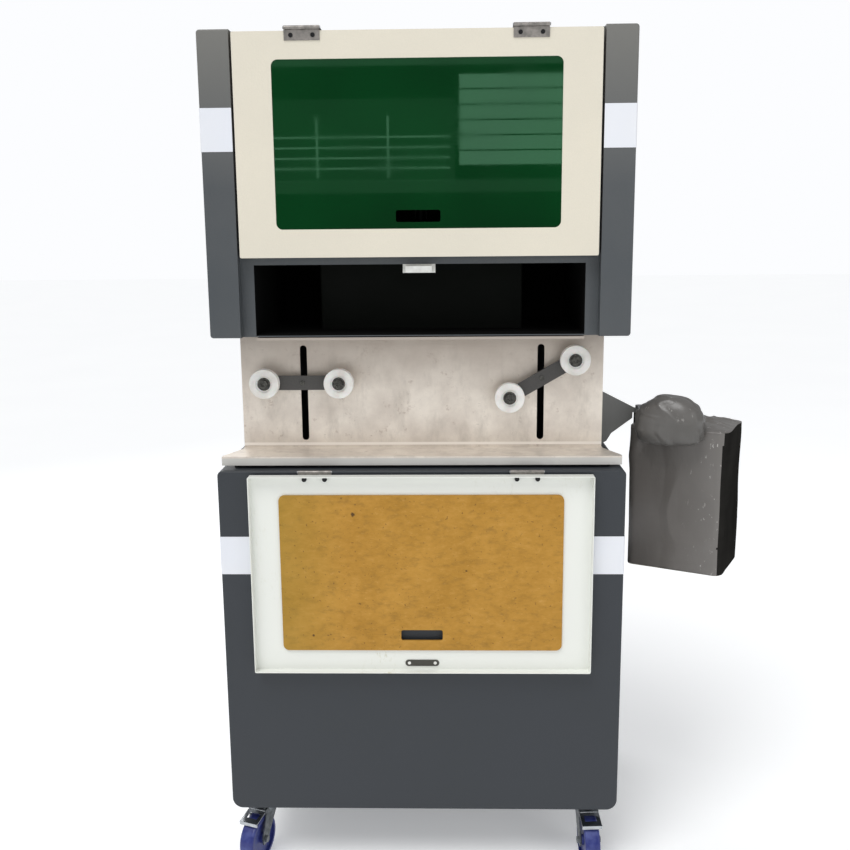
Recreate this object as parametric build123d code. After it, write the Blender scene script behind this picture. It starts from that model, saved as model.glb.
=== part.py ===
from build123d import *
import math
import os

# Two-cabinet laser cutter on casters. Millimetres, +X to the operator's right, +Y to the back, +Z up.
# It is modelled from the middle of the front face at floor level, and moved to its own origin at export.

# ---- Cabinets -------------------------------------------------------------------------------------
CABINET_WIDTH = 800.0
CABINET_DEPTH = 560.0
UNDERSIDE_Z = 135.0        # mounting height of the casters
LEDGE_Z = 859.0            # top of the lower cabinet
UPPER_UNDERSIDE_Z = 1120.0
TOP_Z = 1680.0
SHEET = 2.0
PAINT = 0.02               # what sits on a painted face stands this far off the sheet
REAR_FLANGE = 20.0
REAR_COVER_EDGE = 5.0      # cabinet edge to the edge of its rear cover
LOWER_FOOT_RADIUS = 22.0   # rounded bottom corners of the lower cabinet, seen from the front
SHOULDER_RADIUS = 10.0     # rounded top corners of the lower cabinet
UPPER_CORNER_RADIUS = 6.0
BEND_RADIUS = 3.0          # outside radius of a folded edge
HALF = CABINET_WIDTH / 2
PILLAR_WIDTH = 59.0
STOP_FLANGE = 25.0         # width of the strip that the doors shut against
REBATE_DEPTH = 25.0
OPENING_HALF = HALF - PILLAR_WIDTH
STOP_HALF = OPENING_HALF - STOP_FLANGE
UPPER_BAND = (1465.0, 1543.0)
LOWER_BAND = (648.5, 726.0)

# ---- Doors ----------------------------------------------------------------------------------------
DOOR_SIDE_GAP = 5.0
DOOR_HEIGHT = 404.0
DOOR_DEPTH = 20.0
DOOR_SKIN = 1.5
DOOR_GAP = 4.0             # between the two doors when both are shut
DOOR_HALF = OPENING_HALF - DOOR_SIDE_GAP
WINDOW_HOLE = (530.0, 303.0)
WINDOW_HOLE_RADIUS = 12.0
WINDOW_LAP = (14.0, 9.0)   # how far the acrylic reaches past its hole
WINDOW_MARGIN = 49.0       # hole to the hinged edge of the door
ACRYLIC = 4.0
FINGER_SLOT = (83.0, 22.0)
FINGER_SLOT_FROM_EDGE = 75.0
HINGE_X = 207.0
HINGE_LENGTH = 65.0
HINGE_LEAF = 1.5
HINGE_SCREW_SPAN = 40.0
BARREL_RADIUS = 3.5
PIN_RADIUS = 1.75
PIN_CLEARANCE = 0.05
KNUCKLE_GAP = 0.4
FACE_Y = -2.0              # outer face of a shut door
HINGE_Y = -4.0
HINGE_EDGE = 5.0           # hinge axis to the edge of its door
LATCH = (68.0, 13.0)
LATCH_FROM_EDGE = 15.0
CROSSBAR = (1257.0, 1295.0)
CROSSBAR_BACK = REBATE_DEPTH + 24.0
LINER = 1.5                # sheet of the throat's black liner
GUIDE_HALF = 205.0         # the block in the middle of the throat
GUIDE_Y = (150.0, 176.0)
CATCH = (62.0, 15.0)
CATCH_PLATE = 2.0
CATCH_DROP = 4.0           # the bay catch sits this much under the middle of its latch
BAY_HINGE_Z = LEDGE_Z - 1.0
UPPER_HINGE_Z = TOP_Z

# ---- Roller plate ---------------------------------------------------------------------------------
PLATE = 2.0
PLATE_Y = 120.0            # front of its upright part
PLATE_HALF = HALF - 32.0
SHELF_Z = 882.5
SHELF_HALF = HALF - 5.0
LIP_Y = 25.0
LIP_DROP = 17.5
HOOD_LIP = 5.0
HOOD_GAP = 2.0             # below the upper cabinet
SLOT_X = (-240.0, 242.0)   # left and right
SLOT_WIDTH = 14.0
SLOT_ENDS = (897.0, 1093.0)
ARM_Z = (1020.0, 1027.0)   # left and right pivots
ARM_TILT = (0.0, 30.0)
ARM_REACH = 75.0           # pivot to roller
ARM_BAR = (29.0, 5.0)
ARM_STANDOFF = 22.0        # plate to the back of the arm
ROLLER_RADIUS = 30.0
ROLLER_WIDTH = 17.0
ROLLER_GROOVE = 5.0
AXLE_RADIUS = 5.0
STUD_RADIUS = 6.0
BORE_CLEARANCE = 0.05
SIDE_GAP = 0.5

# ---- Casters --------------------------------------------------------------------------------------
WHEEL_RADIUS = 50.0
WHEEL_WIDTH = 32.0
CASTER_PLATE = (75.0, 60.0, 4.0)
CASTER_X = HALF - 55.0
CASTER_Y = (62.0, CABINET_DEPTH - 62.0)
CASTER_TRAIL = 34.0
AXLE_PIN_RADIUS = 4.0
CASTER_HEADING = {"front_left": 160.0, "front_right": 184.0, "rear_left": 24.0, "rear_right": -15.0}
FORK_GAP = 1.5
FORK_SHEET = 3.0
RACE_RADIUS = 26.0
RACE = 4.0
KINGPIN_RADIUS = 6.0
CROWN_Z = 2 * WHEEL_RADIUS + 4.0
PEDAL_PIN_RADIUS = 1.5
PEDAL_TILT = 14.0

# ---- Control box on its swing arm -----------------------------------------------------------------
BOX_SIZE = (196.0, 160.0, 299.0)
BOX_CORNER = (HALF + 209.0, 78.0, 615.0)   # its front right corner at the bottom
BOX_YAW = -27.0
BOX_CORNER_RADIUS = 14.0
BOX_LID = 18.0
COVER_WALL = 3.0
SCREEN_X = (-165.0, -35.0)
SCREEN_Z = (140.0, 235.0)
FILM = 0.5
BUNDLE = (142.0, 80.0, 110.0)
SWING_PIVOT = (HALF + 59.0, 200.0)
SWING_FOOT = 4.0
SWING_HUB_HEIGHT = 20.0
SWING_EYE = 9.0
SWING_HUB_RADIUS = 12.0
SWING_PIN_RADIUS = 6.0
SWING_Z = BOX_CORNER[2] + BOX_SIZE[2] + SWING_FOOT + SWING_HUB_HEIGHT + SIDE_GAP   # underside of the eye

# ---- Laser ----------------------------------------------------------------------------------------
BED_Z = 1298.0
RAIL_X = 280.0
RAIL_Z = 1382.0
BEAM_Y = 225.0
TUBE_RADIUS = 27.5
TUBE_LENGTH = 620.0
TUBE_Y = 505.0
TUBE_Z = 1590.0
DUCT_Z = 1470.0


def block(x, y, z):
    """A box from its three ranges."""
    size = (x[1] - x[0], y[1] - y[0], z[1] - z[0])
    middle = ((x[0] + x[1]) / 2, (y[0] + y[1]) / 2, (z[0] + z[1]) / 2)
    return Pos(*middle) * Box(*size)


def rod(start, end, radius):
    """A round bar between two points."""
    a, b = Vector(*start), Vector(*end)
    return Plane(origin=(a + b) / 2, z_dir=b - a) * Cylinder(radius, (b - a).length)


def group(solids):
    return Compound(children=list(solids))


def soften(shape, axis, radius, pick=lambda edge: True):
    """Rounds the straight edges along one axis."""
    return fillet([e for e in shape.edges().filter_by(axis) if pick(e.center())], radius)


def rounded_plate(width, height, thickness, radius):
    """A plate in the XZ plane with rounded corners, centred on the origin."""
    plate = Box(width, thickness, height)
    return soften(plate, Axis.Y, radius)


# ---- Cabinets -------------------------------------------------------------------------------------
def lower_cabinet():
    """Folded and welded steel, with a flanged opening at the back."""
    back = CABINET_DEPTH - SHEET
    outer = block((-HALF, HALF), (0, back), (UNDERSIDE_Z, LEDGE_Z))
    outer = soften(outer, Axis.Y, LOWER_FOOT_RADIUS, lambda c: c.Z < (UNDERSIDE_Z + LEDGE_Z) / 2)
    outer = soften(outer, Axis.Y, SHOULDER_RADIUS, lambda c: c.Z > (UNDERSIDE_Z + LEDGE_Z) / 2)
    outer = fillet(outer.faces().sort_by(Axis.Y)[0].edges(), BEND_RADIUS)
    inside_x = (-HALF + SHEET, HALF - SHEET)
    inner = block(inside_x, (SHEET, back - SHEET), (UNDERSIDE_Z + SHEET, LEDGE_Z - SHEET))
    inner = soften(inner, Axis.Y, LOWER_FOOT_RADIUS - SHEET, lambda c: c.Z < LEDGE_Z / 2)
    inner = soften(inner, Axis.Y, SHOULDER_RADIUS - SHEET, lambda c: c.Z > LEDGE_Z / 2)
    return outer - inner - rear_opening(UNDERSIDE_Z, LEDGE_Z)


def rear_opening(z_low, z_high):
    """What is cut out of a cabinet's back, inside its flange."""
    x = (-HALF + REAR_FLANGE, HALF - REAR_FLANGE)
    y = (CABINET_DEPTH - 3 * SHEET, CABINET_DEPTH)
    return soften(block(x, y, (z_low + REAR_FLANGE, z_high - REAR_FLANGE)), Axis.Y, 12.0)


def vented_panel(z_low, z_high, rows):
    """A rear cover with louvre slots."""
    edge = REAR_COVER_EDGE
    x = (-HALF + edge, HALF - edge)
    y = (CABINET_DEPTH - SHEET + PAINT, CABINET_DEPTH)
    panel = soften(block(x, y, (z_low + edge, z_high - edge)), Axis.Y, LOWER_FOOT_RADIUS - edge)
    slot = soften(Box(120, 3 * SHEET, 6), Axis.Y, 2.9)
    middle = (z_low + z_high) / 2
    cuts = [
        Pos(side * 190, CABINET_DEPTH - SHEET / 2, middle + (row - (rows - 1) / 2) * 16) * slot
        for side in (-1, 1)
        for row in range(rows)
    ]
    return panel - cuts


def upper_cabinet():
    """Steel hood with two front pillars, a rebate for the doors and a crossbar between them."""
    back = CABINET_DEPTH - SHEET
    outer = block((-HALF, HALF), (0, back), (UPPER_UNDERSIDE_Z, TOP_Z))
    outer = soften(outer, Axis.Y, UPPER_CORNER_RADIUS)
    outer = fillet(outer.faces().sort_by(Axis.Y)[0].edges(), BEND_RADIUS)
    inside_x = (-HALF + SHEET, HALF - SHEET)
    inner = block(inside_x, (SHEET, back - SHEET), (UPPER_UNDERSIDE_Z + SHEET, TOP_Z - SHEET))
    mouth_y = (-1, REBATE_DEPTH + SHEET)
    mouth = block((-OPENING_HALF, OPENING_HALF), mouth_y, (UPPER_UNDERSIDE_Z - 1, TOP_Z + 1))
    shell = outer - soften(inner, Axis.Y, UPPER_CORNER_RADIUS - SHEET) - mouth
    shell -= rear_opening(UPPER_UNDERSIDE_Z, TOP_Z)
    stop_y = (REBATE_DEPTH, REBATE_DEPTH + SHEET)
    inside_z = (UPPER_UNDERSIDE_Z, TOP_Z)
    for side in (-1, 1):
        wall = sorted((side * OPENING_HALF, side * (OPENING_HALF + SHEET)))
        strip = sorted((side * STOP_HALF, side * (OPENING_HALF + SHEET)))
        shell += block(wall, (SHEET, stop_y[1]), (UPPER_UNDERSIDE_Z + SHEET, TOP_Z - SHEET))
        shell += block(strip, stop_y, inside_z)
    stop_x = (-OPENING_HALF, OPENING_HALF)
    shell += block(stop_x, stop_y, (TOP_Z - 20, TOP_Z))
    shell += block((-STOP_HALF, STOP_HALF), stop_y, CROSSBAR)
    shell += block((-STOP_HALF, STOP_HALF), (REBATE_DEPTH, CROSSBAR_BACK), (CROSSBAR[0], CROSSBAR[0] + SHEET))
    return shell


def chamber_floor():
    """Sheet floor of the laser chamber, with the duct for the beam and the material in the middle."""
    y = (CROSSBAR_BACK, CABINET_DEPTH - 2 * SHEET)
    floor = block((-HALF + SHEET, HALF - SHEET), y, (CROSSBAR[0], CROSSBAR[0] + SHEET))
    return floor - block((-150, 150), (190, 330), (CROSSBAR[0] - 1, CROSSBAR[0] + SHEET + 1))


def throat_liner():
    """Black liner of the open throat under the chamber floor: a floor, two cheeks and a back."""
    y = (REBATE_DEPTH + SHEET, 400.0)
    z = (UPPER_UNDERSIDE_Z + SHEET, CROSSBAR[0])
    wall = LINER
    liner = block((-STOP_HALF - wall, STOP_HALF + wall), y, z)
    return liner - block((-STOP_HALF, STOP_HALF), (y[0] - 1, y[1] - wall), (z[0] + wall, z[1] + 1))


def throat_guide():
    """Block in the middle of the throat that the material passes behind."""
    guide = block((-GUIDE_HALF, GUIDE_HALF), GUIDE_Y, (UPPER_UNDERSIDE_Z + SHEET + LINER, CROSSBAR[0]))
    return soften(guide, Axis.Z, 4.0)


def spine():
    """Rear column that carries the upper cabinet on the lower one."""
    wall = 4.0
    x = (-PLATE_HALF + 2, PLATE_HALF - 2)
    y = (PLATE_Y + PLATE, 330.0)
    column = block(x, y, (LEDGE_Z, UPPER_UNDERSIDE_Z))
    hollow_z = (LEDGE_Z - 1, UPPER_UNDERSIDE_Z + 1)
    return column - block((x[0] + wall, x[1] - wall), (y[0] - 1, y[1] - wall), hollow_z)


def shelf_riser():
    """Folded channel between the ledge and the shelf."""
    x = (-SHELF_HALF + 22, SHELF_HALF - 22)
    outer = block(x, (LIP_Y + 15, PLATE_Y - 5), (LEDGE_Z, SHELF_Z - PLATE))
    inner_x = (x[0] + SHEET, x[1] - SHEET)
    inner_y = (LIP_Y + 15 + SHEET, PLATE_Y - 5 - SHEET)
    return outer - block(inner_x, inner_y, (LEDGE_Z - 1, SHELF_Z - PLATE - SHEET))


def roller_plate():
    """One stainless sheet: drip lip, shelf, slotted upright and hood flange."""
    upright_z = (SHELF_Z - PLATE, UPPER_UNDERSIDE_Z - HOOD_GAP)
    upright = block((-PLATE_HALF, PLATE_HALF), (PLATE_Y, PLATE_Y + PLATE), upright_z)
    outline = Polyline(
        (-SHELF_HALF, LIP_Y), (SHELF_HALF, LIP_Y), (SHELF_HALF, LIP_Y + 12), (PLATE_HALF, PLATE_Y - 18),
        (PLATE_HALF, PLATE_Y + PLATE), (-PLATE_HALF, PLATE_Y + PLATE), (-PLATE_HALF, PLATE_Y - 18),
        (-SHELF_HALF, LIP_Y + 12), close=True,
    )
    shelf = Pos(0, 0, SHELF_Z - PLATE) * extrude(make_face(outline), PLATE)
    lip = block((-SHELF_HALF, SHELF_HALF), (LIP_Y, LIP_Y + PLATE), (SHELF_Z - LIP_DROP, SHELF_Z))
    hood_z = UPPER_UNDERSIDE_Z - HOOD_GAP
    hood = block((-STOP_HALF, STOP_HALF), (LIP_Y, PLATE_Y + PLATE), (hood_z - PLATE, hood_z))
    hood_lip = block((-STOP_HALF, STOP_HALF), (LIP_Y, LIP_Y + PLATE), (hood_z - HOOD_LIP, hood_z))
    slot_height = SLOT_ENDS[1] - SLOT_ENDS[0]
    slot = rounded_plate(SLOT_WIDTH, slot_height, 4 * PLATE, SLOT_WIDTH / 2 - 0.01)
    slots = [Pos(x, PLATE_Y, sum(SLOT_ENDS) / 2) * slot for x in SLOT_X]
    return upright + shelf + lip + hood + hood_lip - slots


def wrap_band(z_low, z_high, inner_half):
    """White trim strip round the front corners and sides of a cabinet."""
    skin = 0.8
    y_back = CABINET_DEPTH - 20
    outer = block((-HALF - skin, HALF + skin), (-skin, y_back), (z_low, z_high))
    outer = soften(outer, Axis.Z, BEND_RADIUS + skin, lambda c: c.Y < 1)
    inner = block((-HALF - PAINT, HALF + PAINT), (-PAINT, y_back + 1), (z_low - 1, z_high + 1))
    inner = soften(inner, Axis.Z, BEND_RADIUS, lambda c: c.Y < 1)
    band = outer - inner
    if inner_half:
        band -= block((-inner_half, inner_half), (-2, 2), (z_low - 1, z_high + 1))
    return band


def rear_screws():
    """Pan-head screws of the two rear covers."""
    head = Plane(origin=(0, CABINET_DEPTH, 0), z_dir=(0, 1, 0)) * (Pos(0, 0, 1.2) * Cylinder(4.5, 2.4))
    spots = [
        (x, z)
        for low, high in ((UNDERSIDE_Z, LEDGE_Z), (UPPER_UNDERSIDE_Z, TOP_Z))
        for x in (-HALF + 30, 0.0, HALF - 30)
        for z in (low + 24, high - 24)
    ]
    return group(Pos(x, 0, z) * head for x, z in spots)


# ---- Doors and hinges -----------------------------------------------------------------------------
# A door is drawn shut, with its hinge axis at the origin, hanging down: x across, y into the machine.
def door_panel():
    """Sheet pan with a window hole. Its flanges point into the machine."""
    y0 = FACE_Y - HINGE_Y
    top = -HINGE_EDGE
    pan = block((-DOOR_HALF, DOOR_HALF), (y0, y0 + DOOR_DEPTH), (top - DOOR_HEIGHT, top))
    pan = soften(pan, Axis.Y, BEND_RADIUS)
    hollow = block(
        (-DOOR_HALF + DOOR_SKIN, DOOR_HALF - DOOR_SKIN),
        (y0 + DOOR_SKIN, y0 + DOOR_DEPTH + 1),
        (top - DOOR_HEIGHT + DOOR_SKIN, top - DOOR_SKIN),
    )
    hollow = soften(hollow, Axis.Y, BEND_RADIUS - DOOR_SKIN)
    hole = Pos(0, y0, window_middle()) * rounded_plate(*WINDOW_HOLE, 4 * DOOR_SKIN, WINDOW_HOLE_RADIUS)
    return pan - hollow - hole


def window_middle():
    return -HINGE_EDGE - WINDOW_MARGIN - WINDOW_HOLE[1] / 2


def door_window():
    """Acrylic sheet behind the hole, with a finger slot."""
    y = FACE_Y - HINGE_Y + DOOR_SKIN + ACRYLIC / 2
    width, height = (hole + 2 * lap for hole, lap in zip(WINDOW_HOLE, WINDOW_LAP))
    sheet = Pos(0, y, window_middle()) * rounded_plate(width, height, ACRYLIC, WINDOW_HOLE_RADIUS)
    slot_z = -HINGE_EDGE - DOOR_HEIGHT + FINGER_SLOT_FROM_EDGE
    slot = Pos(0, y, slot_z) * rounded_plate(*FINGER_SLOT, 3 * ACRYLIC, 4.0)
    return sheet - slot


def hinge_knuckles(keep):
    """The barrel pieces of one leaf of each hinge: keep is 0 for the outer three, 1 for the inner two."""
    count = 5
    pitch = HINGE_LENGTH / count
    pieces = []
    for n in range(keep, count, 2):
        x0 = -HINGE_LENGTH / 2 + n * pitch + KNUCKLE_GAP / 2
        pieces.append(rod((x0, 0, 0), (x0 + pitch - KNUCKLE_GAP, 0, 0), BARREL_RADIUS))
    return pieces


def hinge_leaf(keep, leaf):
    """One leaf with its knuckles, bored for the pin. The other leaf's knuckles get room."""
    pitch = HINGE_LENGTH / 5
    body = leaf
    for n in range(1 - keep, 5, 2):
        x0 = -HINGE_LENGTH / 2 + n * pitch - KNUCKLE_GAP / 2
        body -= rod((x0, 0, 0), (x0 + pitch + KNUCKLE_GAP, 0, 0), BARREL_RADIUS + 0.4)
    for piece in hinge_knuckles(keep):
        body += piece
    return body - rod((-HINGE_LENGTH, 0, 0), (HINGE_LENGTH, 0, 0), PIN_RADIUS + PIN_CLEARANCE)


def door_leaf():
    """The leaf on the outer face of a shut door."""
    y0 = FACE_Y - HINGE_Y
    leaf = block((-HINGE_LENGTH / 2, HINGE_LENGTH / 2), (y0 - HINGE_LEAF, y0), (-22, 0))
    return hinge_leaf(1, leaf)


def top_leaf():
    """The fixed leaf of the upper door, flat on the roof."""
    leaf = block((-HINGE_LENGTH / 2, HINGE_LENGTH / 2), (0, REBATE_DEPTH + 30), (PAINT, HINGE_LEAF))
    return hinge_leaf(0, leaf)


def bay_leaf():
    """The fixed leaf of the bay door, flat on the front of the lower cabinet."""
    leaf = block((-HINGE_LENGTH / 2, HINGE_LENGTH / 2), (-HINGE_Y - HINGE_LEAF, -HINGE_Y - PAINT), (-26, 0))
    return hinge_leaf(0, leaf)


def hinge_pin():
    pin = rod((-HINGE_LENGTH / 2 - 1, 0, 0), (HINGE_LENGTH / 2 + 1, 0, 0), PIN_RADIUS)
    half = HINGE_LENGTH / 2
    ends = [rod((s * (half + 0.2), 0, 0), (s * (half + 1.5), 0, 0), 2.6) for s in (-1, 1)]
    return pin + ends


def hinge_pair(shape):
    return [Pos(side * HINGE_X, 0, 0) * shape for side in (-1, 1)]


def door_screws():
    """Screws through the door leaves, with their nuts inside the pan, and the two latch screws."""
    y0 = FACE_Y - HINGE_Y
    screws = []
    for hinge in (-1, 1):
        for side in (-1, 1):
            x = hinge * HINGE_X + side * HINGE_SCREW_SPAN / 2
            z = -13.0
            screws.append(rod((x, y0 - HINGE_LEAF - 1.6, z), (x, y0 - HINGE_LEAF, z), 4.0))
            screws.append(rod((x, y0 + DOOR_SKIN, z), (x, y0 + DOOR_SKIN + 5, z), 4.6))
    latch_y = y0 + DOOR_SKIN + 1.5
    for side in (-1, 1):
        x = side * (LATCH[0] / 2 - 8)
        z = latch_z()
        screws.append(rod((x, latch_y, z), (x, latch_y + 0.4, z), 3.2))
    return group(screws)


def latch_z():
    return -HINGE_EDGE - DOOR_HEIGHT + LATCH_FROM_EDGE


def latch_plate():
    y = FACE_Y - HINGE_Y + DOOR_SKIN + 0.75
    return Pos(0, y, latch_z()) * rounded_plate(*LATCH, 1.5, LATCH[1] / 2 - 0.01)


def at_upper_hinge(shape):
    return Pos(0, HINGE_Y, UPPER_HINGE_Z) * shape


def at_bay_hinge(shape):
    return Pos(0, HINGE_Y, BAY_HINGE_Z) * shape


def open_bay(shape):
    """The bay door rests wide open: half a turn from shut, hanging in front of the lower cabinet."""
    return at_bay_hinge(Rot(0, 0, 180) * shape)


def door_catches():
    """Magnetic catches on the crossbar: one for each door."""
    front = FACE_Y + DOOR_SKIN + 2.0
    bay_z = BAY_HINGE_Z + HINGE_EDGE + DOOR_HEIGHT - LATCH_FROM_EDGE - CATCH_DROP
    upper_z = UPPER_HINGE_Z - HINGE_EDGE - DOOR_HEIGHT + LATCH_FROM_EDGE
    catches = []
    for z in (bay_z, upper_z):
        case = Pos(0, (front + REBATE_DEPTH) / 2, z) * Box(CATCH[0] - 12, REBATE_DEPTH - front, CATCH[1] - 3)
        catches.append(case)
    hanging = block((-CATCH[0] / 2, CATCH[0] / 2), (REBATE_DEPTH, REBATE_DEPTH + CATCH_PLATE),
                    (bay_z - CATCH[1] / 2, CROSSBAR[0]))
    ears = Pos(0, REBATE_DEPTH - CATCH_PLATE / 2, upper_z) * rounded_plate(*CATCH, CATCH_PLATE, 3.0)
    return group([catches[0] + hanging, catches[1] + ears])


# ---- Roller arms ----------------------------------------------------------------------------------
def arm_back():
    return PLATE_Y - ARM_STANDOFF


def slot_stud(x, z):
    """Clamping stud: it slides in the slot and its front journal carries the arm."""
    flange_y = PLATE_Y - SIDE_GAP
    collar = rod((x, arm_back() + SIDE_GAP, z), (x, flange_y, z), 11.0)
    shank = rod((x, flange_y - 1, z), (x, PLATE_Y + PLATE + 12, z), STUD_RADIUS)
    nut = rod((x, PLATE_Y + PLATE + SIDE_GAP, z), (x, PLATE_Y + PLATE + 9, z), 12.0)
    journal = rod((x, arm_back() - ARM_BAR[1] - 1.5, z), (x, arm_back() + 1, z), AXLE_RADIUS)
    return collar + shank + nut + journal


def arm_points(x, z, tilt):
    dx, dz = ARM_REACH * math.cos(math.radians(tilt)), ARM_REACH * math.sin(math.radians(tilt))
    return [(x - dx, z - dz), (x + dx, z + dz)]


def arm_bar(x, z, tilt):
    bar = Box(2 * ARM_REACH + ARM_BAR[0] - 2, ARM_BAR[1], ARM_BAR[0])
    bar = soften(bar, Axis.Y, ARM_BAR[0] / 2 - 0.6)
    bar -= rod((0, -10, 0), (0, 10, 0), AXLE_RADIUS + BORE_CLEARANCE)
    return Pos(x, arm_back() - ARM_BAR[1] / 2, z) * (Rot(0, -tilt, 0) * bar)


def roller_front():
    return arm_back() - ARM_BAR[1] - SIDE_GAP - ROLLER_WIDTH


def roller(x, z):
    """Nylon wheel with a shallow V groove."""
    front = roller_front()
    middle = front + ROLLER_WIDTH / 2
    wheel = rod((x, front, z), (x, front + ROLLER_WIDTH, z), ROLLER_RADIUS)
    wheel = fillet(wheel.edges().filter_by(GeomType.CIRCLE), 1.5)
    half = ROLLER_WIDTH / 2 - 3.0
    rim = ROLLER_RADIUS + 1
    profile = Polyline((rim, -half - 1), (ROLLER_RADIUS - ROLLER_GROOVE, 0), (rim, half + 1), close=True)
    groove = revolve(Plane.XY * make_face(profile), Axis.Y)
    dish = rod((x, front - 1, z), (x, front + 2.0, z), 17.0)
    bore = rod((x, front - 1, z), (x, front + ROLLER_WIDTH + 1, z), AXLE_RADIUS + BORE_CLEARANCE)
    return wheel - Pos(x, middle, z) * groove - dish - bore


def roller_bolt(x, z):
    """Shoulder bolt with a socket head and a washer; its nut is behind the arm."""
    front = roller_front()
    head = rod((x, front - 6.5, z), (x, front - 0.5 + 1.8, z), 8.5)
    socket = Plane(origin=(x, front - 6.5, z), z_dir=(0, 1, 0)) * extrude(RegularPolygon(4.5, 6), 3.5)
    washer = rod((x, front + 0.3, z), (x, front + 1.6, z), 13.0)
    shank = rod((x, front, z), (x, arm_back() - ARM_BAR[1], z), AXLE_RADIUS)
    tail = rod((x, arm_back() - ARM_BAR[1], z), (x, arm_back() + 9, z), AXLE_RADIUS)
    nut = Plane(origin=(x, arm_back(), z), z_dir=(0, 1, 0)) * extrude(RegularPolygon(9.0, 6), 6)
    return head - socket + washer + shank + tail + nut


# ---- Casters --------------------------------------------------------------------------------------
def caster_top(x, y):
    """Fixed top plate and upper race."""
    width, depth, thick = CASTER_PLATE
    plate = soften(Box(width, depth, thick), Axis.Z, 6.0)
    plate = Pos(x, y, UNDERSIDE_Z - thick / 2) * plate
    race = rod((x, y, UNDERSIDE_Z - thick - RACE), (x, y, UNDERSIDE_Z - thick), RACE_RADIUS)
    kingpin = rod((x, y, CROWN_Z + 1), (x, y, UNDERSIDE_Z), KINGPIN_RADIUS)
    return plate + race + kingpin


def caster_spots():
    return {
        "front_left": (-CASTER_X, CASTER_Y[0]),
        "front_right": (CASTER_X, CASTER_Y[0]),
        "rear_left": (-CASTER_X, CASTER_Y[1]),
        "rear_right": (CASTER_X, CASTER_Y[1]),
    }


def place_caster(name, shape):
    x, y = caster_spots()[name]
    return Pos(x, y, 0) * (Rot(0, 0, CASTER_HEADING[name]) * shape)


def fork():
    """Swivelling fork with its axle bolt: drawn at the origin, trailing towards +Y."""
    top = UNDERSIDE_Z - CASTER_PLATE[2] - RACE - SIDE_GAP
    half = WHEEL_WIDTH / 2 + FORK_GAP
    outer = half + FORK_SHEET
    body = rod((0, 0, CROWN_Z), (0, 0, top), RACE_RADIUS)
    body += block((-outer, outer), (-RACE_RADIUS + 4, RACE_RADIUS), (CROWN_Z, CROWN_Z + 5))
    outline = Polyline(
        (-RACE_RADIUS + 4, CROWN_Z + 5), (RACE_RADIUS, CROWN_Z + 5), (CASTER_TRAIL + 12, WHEEL_RADIUS + 6),
        (CASTER_TRAIL + 10, WHEEL_RADIUS - 10), (CASTER_TRAIL - 10, WHEEL_RADIUS - 10),
        (CASTER_TRAIL - 16, WHEEL_RADIUS + 6), close=True,
    )
    for x_in in (half, -outer):
        body += Pos(x_in, 0, 0) * extrude(Plane.YZ * make_face(outline), FORK_SHEET)
    body -= rod((0, 0, CROWN_Z - 1), (0, 0, top + 1), KINGPIN_RADIUS + BORE_CLEARANCE)
    axle_at = (CASTER_TRAIL, WHEEL_RADIUS)
    body += rod((-outer - 4, *axle_at), (outer + 4, *axle_at), AXLE_PIN_RADIUS)
    for side in (-1, 1):
        nut = Plane(origin=(side * outer, CASTER_TRAIL, WHEEL_RADIUS), z_dir=(side, 0, 0))
        body += nut * extrude(RegularPolygon(7.5, 6), 4.5)
    y, z = brake_pivot()
    for side in (-1, 1):
        body += block(sorted((side * (outer - 1.5), side * outer)), (RACE_RADIUS - 6, y + 3), (z - 3, z + 3))
    return body + rod((-outer, y, z), (outer, y, z), PEDAL_PIN_RADIUS)


def caster_wheel():
    """Polyurethane tread on its core, with the bore for the axle."""
    half = WHEEL_WIDTH / 2
    centre = (CASTER_TRAIL, WHEEL_RADIUS)
    tyre = rod((-half, *centre), (half, *centre), WHEEL_RADIUS)
    tyre = fillet(tyre.edges().filter_by(GeomType.CIRCLE), 5.0)
    for side in (-1, 1):
        face = sorted((side * (half - 5), side * (half + 1)))
        dish = rod((face[0], *centre), (face[1], *centre), WHEEL_RADIUS - 9)
        hub = rod((face[0], *centre), (face[1], *centre), 11.0)
        tyre -= dish - hub
    return tyre - rod((-half - 1, *centre), (half + 1, *centre), AXLE_PIN_RADIUS + BORE_CLEARANCE)


def brake_pivot():
    """Axis of the pedal, across the fork: y and z."""
    return (RACE_RADIUS + 3.5, CROWN_Z + 7.0)


def brake_pedal():
    """Stamped pedal with a window, hinged on the front of the fork."""
    y, z = brake_pivot()
    half = WHEEL_WIDTH / 2 + FORK_GAP + FORK_SHEET
    neck = half - 2.0
    pedal = block((-neck, neck), (y, y + 8), (z - 1, z + 1))
    pedal += block((-half, half), (y + 5, y + 42), (z - 1, z + 1))
    pedal -= block((-half + 8, half - 8), (y + 12, y + 27), (z - 3, z + 3))
    pedal += block((-half, half), (y + 39, y + 42), (z - 6, z + 3))
    pedal = Pos(0, y, z) * Rot(-PEDAL_TILT, 0, 0) * Pos(0, -y, -z) * pedal
    pedal += rod((-neck, y, z), (neck, y, z), 2.8)
    return pedal - rod((-half, y, z), (half, y, z), PEDAL_PIN_RADIUS + BORE_CLEARANCE)


# ---- Control box ----------------------------------------------------------------------------------
def box_place(shape):
    """From the box's own drawing (front right bottom corner at the origin) to the machine."""
    return Pos(*BOX_CORNER) * (Rot(0, 0, BOX_YAW) * shape)


def box_outline(z_low, z_high, grow=0.0):
    """The rounded outline of the box, raised between two heights."""
    width, depth, _ = BOX_SIZE
    body = block((-width - grow, grow), (-grow, depth + grow), (z_low, z_high))
    return soften(body, Axis.Z, BOX_CORNER_RADIUS + grow)


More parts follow.
